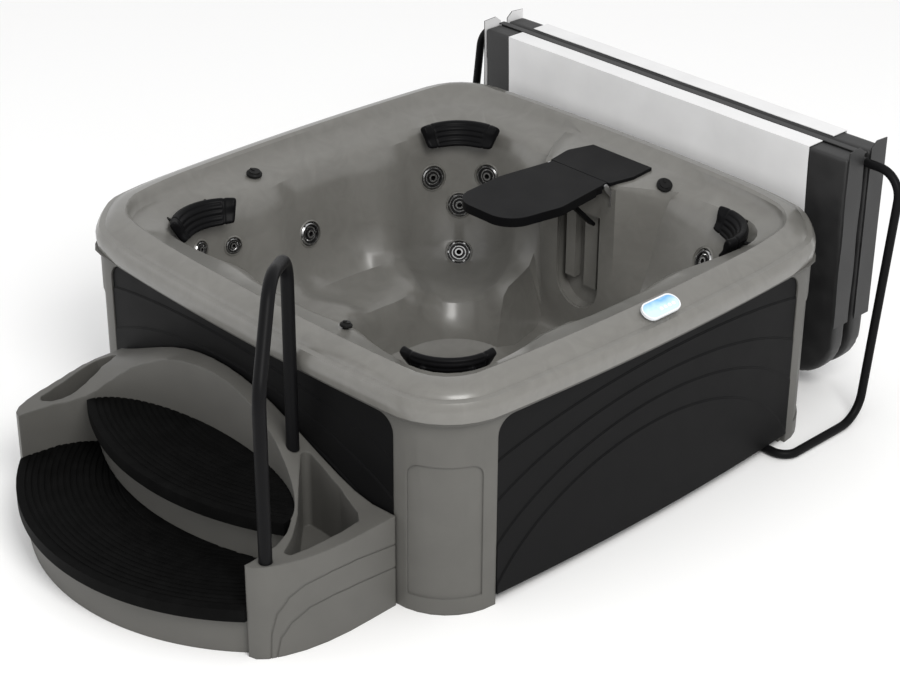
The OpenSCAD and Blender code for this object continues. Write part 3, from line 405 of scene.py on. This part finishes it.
def lining() -> Shader:
    """White reinforced lining with its woven scrim showing faintly."""
    sh = Shader("reinforced_lining")
    here = sh.place()
    x, y, z = sh.axes(here)
    scrim = ((x * 900).sine()).maximum((z * 900).sine())
    cloud = sh.noise(here, 6, 3)
    colour = sh.ramp(cloud, [(0.3, (0.74, 0.74, 0.745)), (0.7, (0.80, 0.80, 0.805))])
    sh.set(Base_Color=colour, Roughness=0.5)
    return sh.bump(scrim * 0.5 + cloud, 0.0003, 0.3)


def chrome(name: str = "polished_trim", rough: float = 0.12) -> Shader:
    """Bright metal with faint smears."""
    sh = Shader(name)
    smear = sh.noise(sh.place(), 60, 3, 0.5)
    sh.set(Base_Color=(0.62, 0.62, 0.63, 1), Metallic=1.0,
           Roughness=sh.between(smear, rough - 0.05, rough + 0.08))
    return sh


def powder_coat(name: str) -> Shader:
    """Black powder coat with its orange peel."""
    sh = Shader(name)
    peel = sh.noise(sh.place(), 700, 2)
    sh.set(Base_Color=(0.0055, 0.0055, 0.006, 1), Roughness=sh.between(peel, 0.36, 0.48),
           Specular_IOR_Level=DARK_SHINE)
    return sh.bump(peel, 0.0003, 0.35)


def rubber_mat() -> Shader:
    """Black rubber of the tread mats, dusty in places."""
    sh = Shader("rubber_mat", 0.004)
    here = sh.place()
    dust = sh.noise(here, 18, 4)
    colour = sh.ramp(dust, [(0.35, (0.0022, 0.0022, 0.0022)), (0.75, (0.0042, 0.0042, 0.0042))])
    sh.set(Base_Color=colour, Roughness=sh.between(dust, 0.55, 0.7), Specular_IOR_Level=0.04)
    return sh.bump(sh.noise(here, 1200, 2), 0.0003, 0.4)


def topside_face() -> Shader:
    """Printed overlay of the control panel: pale blue fading to white."""
    sh = Shader("topside_overlay")
    here = sh.place()
    x, y, _ = sh.axes(here)
    fade = sh.noise(here, 16, 2) * 0.5 + (x - 0.94) * 9.0 + 0.28
    colour = sh.ramp(fade, [(0.2, (0.85, 0.9, 0.95)), (0.55, (0.16, 0.42, 0.72)),
                            (0.85, (0.6, 0.8, 0.95))])
    sh.set(Base_Color=colour, Roughness=0.15, Coat_Weight=0.5)
    return sh


def make_finishes() -> dict[Finish, bpy.types.Material]:
    """Builds every material.

    Returns:
        The material of each finish.
    """
    shaders: dict[Finish, Shader] = {
        Finish.ACRYLIC: acrylic(),
        Finish.CABINET: moulded("cabinet_plastic", (0.102, 0.0995, 0.092), 0.48, edge=0.008,
                                shine=0.3),
        Finish.PANEL: moulded("panel_plastic", (0.0055, 0.0055, 0.0058), 0.5, edge=0.003,
                              shine=DARK_SHINE),
        Finish.PAN: moulded("pan_plastic", (0.02, 0.02, 0.02), 0.6),
        Finish.CHROME: chrome(),
        Finish.JET_DARK: moulded("jet_plastic", (0.03, 0.03, 0.032), 0.3),
        Finish.KNOB: moulded("knob_plastic", (0.012, 0.012, 0.012), 0.35, edge=0.002,
                             shine=DARK_SHINE),
        Finish.PILLOW: moulded("pillow_skin", (0.0045, 0.0045, 0.005), 0.4, 420, 0.0004,
                               shine=DARK_SHINE),
        Finish.BEZEL: moulded("bezel_plastic", (0.78, 0.8, 0.83), 0.25),
        Finish.TOPSIDE: topside_face(),
        Finish.BUTTON: moulded("button_membrane", (0.85, 0.9, 0.95), 0.3),
        Finish.TABLE: moulded("table_plastic", (0.0045, 0.0045, 0.005), 0.45, edge=0.004,
                              shine=DARK_SHINE),
        Finish.STEEL: chrome("brushed_trim", 0.3),
        Finish.PLEATS: moulded("pleated_filter", (0.8, 0.8, 0.76), 0.8),
        Finish.MAT: rubber_mat(),
        Finish.RAIL: powder_coat("rail_coat"),
        Finish.LIFTER: powder_coat("lifter_coat"),
        Finish.VINYL: vinyl(),
        Finish.FOAM: moulded("cover_foam", (0.9, 0.9, 0.88), 0.8),
        Finish.LINER: lining(),
        Finish.PUMP: moulded("pump_paint", (0.06, 0.065, 0.07), 0.5),
        Finish.BOX: moulded("box_plastic", (0.5, 0.52, 0.55), 0.5),
        Finish.PIPE: moulded("pipe_plastic", (0.8, 0.8, 0.78), 0.4),
    }
    return {finish: shader.material for finish, shader in shaders.items()}


# Pieces

class Dresser:
    """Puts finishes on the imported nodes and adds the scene's own pieces.

    Args:
        frame: what the frame's load returned.
        finishes: the material of each finish.
    """

    def __init__(self, frame: dict, finishes: dict[Finish, bpy.types.Material]):
        self.frame = frame
        self.finishes = finishes
        self.slots = {s["node"]: Finish(s["material_slot"]) for s in frame["record"]["subparts"]}
        self.body_of = {n: b for b, ns in frame["record"]["behaviour"]["bodies"].items() for n in ns}

    def joint(self, node: str) -> dict:
        """Returns the joint that a node's body turns on."""
        joints = self.frame["record"]["behaviour"]["joints"]
        return next(j for j in joints if j["child"] == self.body_of[node])

    def paint_nodes(self) -> None:
        """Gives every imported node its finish."""
        for name, obj in self.frame["nodes"].items():
            obj.data.materials.clear()
            obj.data.materials.append(self.finishes[self.slots[name]])

    def add(self, name: str, mesh: bpy.types.Mesh, node: str,
            extra: Iterable[str] = ()) -> bpy.types.Object:
        """Adds a piece that stands for a node and rides with it.

        Args:
            name: the piece's name.
            mesh: its mesh, in the row frame.
            node: the node whose body and finish it takes, and which it replaces.
            extra: more nodes that it replaces.

        Returns:
            The new object.
        """
        obj = bpy.data.objects.new(name, mesh)
        bpy.context.scene.collection.objects.link(obj)
        mesh.materials.append(self.finishes[self.slots[node]])
        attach(obj, self.body_of[node])
        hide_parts(node, *extra)
        return obj

    def merged(self, node: str) -> bmesh.types.BMesh:
        """Copies a node's mesh with its loose triangles joined.

        Args:
            node: the node to copy.

        Returns:
            The copy, for the caller to free.
        """
        bm = bmesh.new()
        bm.from_mesh(self.frame["nodes"][node].data)
        bmesh.ops.remove_doubles(bm, verts=bm.verts, dist=MERGE)
        bmesh.ops.dissolve_degenerate(bm, dist=MERGE, edges=bm.edges)
        return bm

    def smooth_copy(self, node: str, angle_deg: float = 40) -> bpy.types.Object:
        """Stands a smoothly shaded copy in for a faceted node.

        Args:
            node: the node to copy.
            angle_deg: edges sharper than this stay crisp.

        Returns:
            The copy.
        """
        bm = self.merged(node)
        shade(bm, angle_deg)
        mesh = bpy.data.meshes.new(node + "_skin")
        bm.to_mesh(mesh)
        bm.free()
        return self.add(node + "_skin", mesh, node)

    def remeshed(self, node: str, voxel: float, name: str) -> bpy.types.Mesh:
        """Rebuilds a solid node's surface as even quads.

        Args:
            node: the node to copy.
            voxel: the quads' size in metres.
            name: the new mesh's name.

        Returns:
            The new mesh.
        """
        bm = self.merged(node)
        rough = bpy.data.meshes.new(name + "_rough")
        bm.to_mesh(rough)
        bm.free()
        carrier = bpy.data.objects.new(name + "_rough", rough)
        bpy.context.scene.collection.objects.link(carrier)
        remesh = carrier.modifiers.new("even", "REMESH")
        remesh.mode = "VOXEL"
        remesh.voxel_size = voxel
        graph = bpy.context.evaluated_depsgraph_get()
        mesh = bpy.data.meshes.new_from_object(carrier.evaluated_get(graph))
        mesh.name = name
        mesh.materials.clear()
        bpy.data.objects.remove(carrier)
        return mesh


def shade(bm: bmesh.types.BMesh, angle_deg: float) -> None:
    """Shades a mesh smoothly except over its sharp edges.

    Args:
        bm: the mesh.
        angle_deg: edges sharper than this stay crisp.
    """
    for face in bm.faces:
        face.smooth = True
    for edge in bm.edges:
        wide = len(edge.link_faces) != 2 or edge.calc_face_angle(0) > math.radians(angle_deg)
        edge.smooth = not wide


def press(mesh: bpy.types.Mesh, rounds: int, depth: Callable[[Vector], float], swell: float) -> None:
    """Rounds a remeshed solid, swells it and presses channels into it.

    Args:
        mesh: the mesh to shape.
        rounds: how many times it is smoothed.
        depth: gives how deep a point is pressed in, in metres.
        swell: how far the whole surface moves out, in metres.
    """
    bm = bmesh.new()
    bm.from_mesh(mesh)
    for _ in range(rounds):
        bmesh.ops.smooth_vert(bm, verts=bm.verts, factor=0.5, use_axis_x=True, use_axis_y=True,
                              use_axis_z=True)
    bm.normal_update()
    moves = [(v, v.normal * (swell - depth(v.co))) for v in bm.verts]
    for vert, move in moves:
        vert.co += move
    shade(bm, 180)
    bm.to_mesh(mesh)
    bm.free()


def groove(distance: float, width: float) -> float:
    """Returns a soft groove's share of its full depth.

    Args:
        distance: how far the point lies from the groove's middle.
        width: the groove's half width.
    """
    return math.exp(-((distance / width) ** 2))


@dataclass(frozen=True)
class NeckPillow:
    """A curved neck pillow with pressed channels and plain wings.

    Args:
        node: the node that it stands for.
        centre: the place of its arc's centre.
        facing_deg: the way that it backs onto.
        top: the height of its top edge.
    """

    node: str
    centre: tuple[float, float]
    facing_deg: float
    top: float
    wing_deg: float = 37
    channels: tuple[float, ...] = (0.016, 0.034, 0.052, 0.070)
    channel_depth: float = 0.0032
    channel_half: float = 0.0036
    voxel: float = 0.004

    def depth(self, point: Vector) -> float:
        """Returns how deep a point of the skin is pressed in."""
        dx = point.x - self.centre[0]
        dy = point.y - self.centre[1]
        turn = math.degrees(math.atan2(dy, dx)) - self.facing_deg
        turn = abs((turn + 180) % 360 - 180)
        drop = self.top - point.z
        inner = 1 / (1 + math.exp((turn - self.wing_deg) * 1.5))
        rib = max(groove(drop - c, self.channel_half) for c in self.channels)
        reach = math.hypot(dx, dy) * math.radians(turn - self.wing_deg - 3)
        seam = groove(reach, self.channel_half)
        return self.channel_depth * max(rib * inner, seam)

    def build(self, dresser: Dresser) -> bpy.types.Object:
        """Builds the pillow.

        Args:
            dresser: adds it to the scene.

        Returns:
            The new object.
        """
        mesh = dresser.remeshed(self.node, self.voxel, self.node + "_pad")
        press(mesh, 5, self.depth, 0.0012)
        obj = dresser.add(self.node + "_pad", mesh, self.node)
        return obj


def ringed(low: Colour, high: Colour) -> list[tuple[float, Colour]]:
    """Works out the stops of a gradient that is high on a jet face's bright rings.

    Args:
        low: the colour between the rings.
        high: the colour on the rings.

    Returns:
        The stops from the axis outwards.
    """
    stops = []
    for start, end in JET_RINGS:
        stops += [(start - RING_BLUR, low), (start, high), (end, high), (end + RING_BLUR, low)]
    return [stop for stop in stops if stop[0] < 1]


@dataclass(frozen=True)
class JetFace:
    """A jet's turning face: bright rings with dark plastic between them.

    Args:
        node: the node that it stands for.
    """

    node: str

    def finish(self, centre: Vector, axis: Vector, radius: float) -> Shader:
        """Rings of bright metal and dark plastic round the jet's axis.

        Args:
            centre: a point on the axis.
            axis: the way that the jet faces.
            radius: the face's outer radius.

        Returns:
            The finish.
        """
        sh = Shader(self.node + "_rings")
        across = axis.orthogonal().normalized()
        along = axis.cross(across)
        here = sh.place()
        u = sh.projected(here, centre, across / radius)
        v = sh.projected(here, centre, along / radius)
        share = (u * u + v * v).root()
        colour = sh.ramp(share, ringed(JET_DARK_TONE, JET_BRIGHT_TONE))
        metal = sh.ramp(share, ringed(BLACK, WHITE))
        sh.set(Base_Color=colour, Metallic=metal, Roughness=0.24, Specular_IOR_Level=0.3)
        return sh

    def build(self, dresser: Dresser) -> bpy.types.Object:
        """Builds the face.

        Args:
            dresser: adds it to the scene.

        Returns:
            The new object.
        """
        joint = dresser.joint(self.node)
        centre = Vector(joint["pos_m"])
        axis = Vector(joint["axis"]).normalized()
        obj = dresser.smooth_copy(self.node, 35)
        arms = [v.co - centre for v in obj.data.vertices]
        radius = max((arm - axis * arm.dot(axis)).length for arm in arms)
        obj.data.materials[0] = self.finish(centre, axis, radius).material
        return obj


JETS = tuple(JetFace(node) for node in (
    "jet_back_1", "jet_back_2", "jet_back_3", "jet_back_4", "jet_side", "jet_left_1", "jet_left_2",
    "jet_right_1", "jet_right_2", "jet_front",
))
PILLOWS = (
    NeckPillow("pillow_left", (-0.543, -0.587), 183, 0.788),
    NeckPillow("pillow_back", (-0.4995, 0.4995), 135, 0.790),
    NeckPillow("pillow_right", (0.585, 0.585), 45, 0.788),
    NeckPillow("pillow_near", (0.585, -0.585), 315, 0.788),
)


@dataclass(frozen=True)
class CoverHalf:
    """One folded half of the insulated cover.

    Args:
        side: near or far, as its nodes' names begin.
    """

    side: str
    voxel: float = 0.009
    jacket: float = 0.003
    pucker: float = 0.0014
    ripple: float = 0.0011
    liner_pitch: float = 0.045
    flap_pitch: float = 0.03
    flap_sway: float = 0.0015

    def slack(self, point: Vector) -> float:
        """Returns how far the vinyl lies in from the foam's flat faces at a point."""
        wave = math.sin(point.x * 9.1 + point.z * 3.7) * math.sin(point.z * 13.3 - point.x * 2.9)
        fine = math.sin(point.x * 31 + math.sin(point.z * 17) * 2)
        return self.pucker * (0.7 * wave + 0.3 * fine)

    def gridded(self, dresser: Dresser, node: str, pitch: float) -> bmesh.types.BMesh:
        """Copies a thin node and cuts it into a grid along x and z.

        Args:
            dresser: reads the node.
            node: the node.
            pitch: the grid's spacing.

        Returns:
            The copy, for the caller to free.
        """
        bm = dresser.merged(node)
        low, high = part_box(node)
        for axis in (0, 2):
            normal = Vector((0, 0, 0))
            normal[axis] = 1
            count = int((high[axis] - low[axis]) / pitch)
            for i in range(1, count + 1):
                place = Vector(low)
                place[axis] = low[axis] + (high[axis] - low[axis]) * i / (count + 1)
                bmesh.ops.bisect_plane(bm, geom=bm.verts[:] + bm.edges[:] + bm.faces[:], dist=MERGE,
                                       plane_co=place, plane_no=normal)
        return bm

    def build_pad(self, dresser: Dresser) -> bpy.types.Object:
        """Builds the foam slab in its vinyl jacket."""
        name = self.side + "_pad"
        mesh = dresser.remeshed(self.side + "_core", self.voxel, name)
        press(mesh, 2, self.slack, self.jacket - self.pucker)
        obj = dresser.add(name, mesh, self.side + "_jacket", [self.side + "_core"])
        return obj

    def build_liner(self, dresser: Dresser) -> bpy.types.Object:
        """Builds the white lining of the underside as one stretched sheet."""
        node = self.side + "_liner"
        bm = self.gridded(dresser, node, self.liner_pitch)
        for vert in bm.verts:
            wave = math.sin(vert.co.x * 14 + vert.co.z * 5) * math.sin(vert.co.z * 9 - vert.co.x * 3)
            vert.co.y += self.ripple * wave
        shade(bm, 40)
        mesh = bpy.data.meshes.new(node + "_sheet")
        bm.to_mesh(mesh)
        bm.free()
        obj = dresser.add(node + "_sheet", mesh, node)
        return obj

    def build_flaps(self, dresser: Dresser) -> None:
        """Builds the two end flaps as hanging sheets."""
        node = self.side + "_skirt"
        low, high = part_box(node)
        middle = (low[0] + high[0]) / 2
        for label, keep in (("left", -1), ("right", 1)):
            bm = self.gridded(dresser, node, self.flap_pitch)
            gone = [v for v in bm.verts if (v.co.x - middle) * keep < 0]
            bmesh.ops.delete(bm, geom=gone, context="VERTS")
            for vert in bm.verts:
                sway = 1 + math.sin(vert.co.z * 21) * math.sin(vert.co.y * 37 + 1)
                vert.co.x += keep * self.flap_sway * sway
            shade(bm, 40)
            bm.normal_update()
            for face in bm.faces:
                face.material_index = int(face.normal.x * keep < FLAP_LINED)
            mesh = bpy.data.meshes.new(f"{node}_{label}")
            bm.to_mesh(mesh)
            bm.free()
            obj = dresser.add(f"{node}_{label}", mesh, node)
            mesh.materials.append(dresser.finishes[Finish.LINER])

    def build(self, dresser: Dresser) -> None:
        """Builds the half's pieces.

        Args:
            dresser: adds them to the scene.
        """
        self.build_pad(dresser)
        self.build_liner(dresser)
        self.build_flaps(dresser)


# Stage

def add_camera(view: Viewpoint) -> None:
    """Adds the camera at the photograph's viewpoint.

    Args:
        view: the viewpoint.
    """
    data = bpy.data.cameras.new("photo_camera")
    data.sensor_width = SENSOR_MM
    data.lens = view.lens_mm
    data.clip_end = VIEW_END
    obj = bpy.data.objects.new("photo_camera", data)
    bpy.context.scene.collection.objects.link(obj)
    obj.matrix_world = view.matrix()
    bpy.context.scene.camera = obj


@dataclass(frozen=True)
class Lamp:
    """A soft square light that faces the tub.

    Args:
        name: its name.
        place: where it stands.
        size: its width.
        power: watts.
        colour: its colour.
    """

    name: str
    place: Vector
    size: float
    power: float
    colour: Colour

    def build(self) -> None:
        """Adds the light to the scene."""
        data = bpy.data.lights.new(self.name, "AREA")
        data.size = self.size
        data.energy = self.power
        data.color = self.colour
        obj = bpy.data.objects.new(self.name, data)
        bpy.context.scene.collection.objects.link(obj)
        obj.location = self.place
        obj.rotation_euler = (LAMP_AIM - self.place).to_track_quat("-Z", "Y").to_euler()


LAMP_AIM = Vector((0, 0, 0.4))
LAMPS = (
    Lamp("key", Vector((5.2, -2.6, 6.0)), 3.0, 330, (1.0, 0.99, 0.97)),
    Lamp("fill", Vector((-4.5, -5.0, 3.0)), 4.0, 30, (0.97, 0.98, 1.0)),
)


def add_floor() -> None:
    """Adds a plain pale floor."""
    bm = bmesh.new()
    bmesh.ops.create_grid(bm, x_segments=1, y_segments=1, size=FLOOR_HALF)
    mesh = bpy.data.meshes.new("floor")
    bm.to_mesh(mesh)
    bm.free()
    floor = bpy.data.objects.new("floor", mesh)
    bpy.context.scene.collection.objects.link(floor)
    floor.location.z = -FLOOR_DROP
    sh = Shader("studio_floor")
    soft = sh.noise(sh.place(), 0.6, 1)
    sh.set(Base_Color=(FLOOR_WHITE, FLOOR_WHITE, FLOOR_WHITE, 1),
           Roughness=sh.between(soft, 0.85, 0.95))
    mesh.materials.append(sh.material)


def set_studio() -> None:
    """Sets the world, the lights and the view transform."""
    scene = bpy.context.scene
    scene.view_settings.view_transform = "Standard"
    world = bpy.data.worlds.new("studio")
    world.use_nodes = True
    world.node_tree.nodes["Background"].inputs[0].default_value = (1, 1, 1, 1)
    world.node_tree.nodes["Background"].inputs[1].default_value = WORLD_STRENGTH
    scene.world = world
    for lamp in LAMPS:
        lamp.build()


def main() -> None:
    """Builds the scene."""
    logging.basicConfig(level=logging.INFO)
    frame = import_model()
    dresser = Dresser(frame, make_finishes())
    dresser.paint_nodes()
    for node in SMOOTH_NODES:
        dresser.smooth_copy(node)
        log.info("smoothed %s", node)
    for jet in JETS:
        jet.build(dresser)
        log.info("built %s", jet.node)
    for pillow in PILLOWS:
        pillow.build(dresser)
        log.info("built %s", pillow.node)
    for side in ("near", "far"):
        CoverHalf(side).build(dresser)
        log.info("built the %s cover half", side)
    add_floor()
    set_studio()
    add_camera(PHOTO_VIEW)


if __name__ == "__main__":
    main()
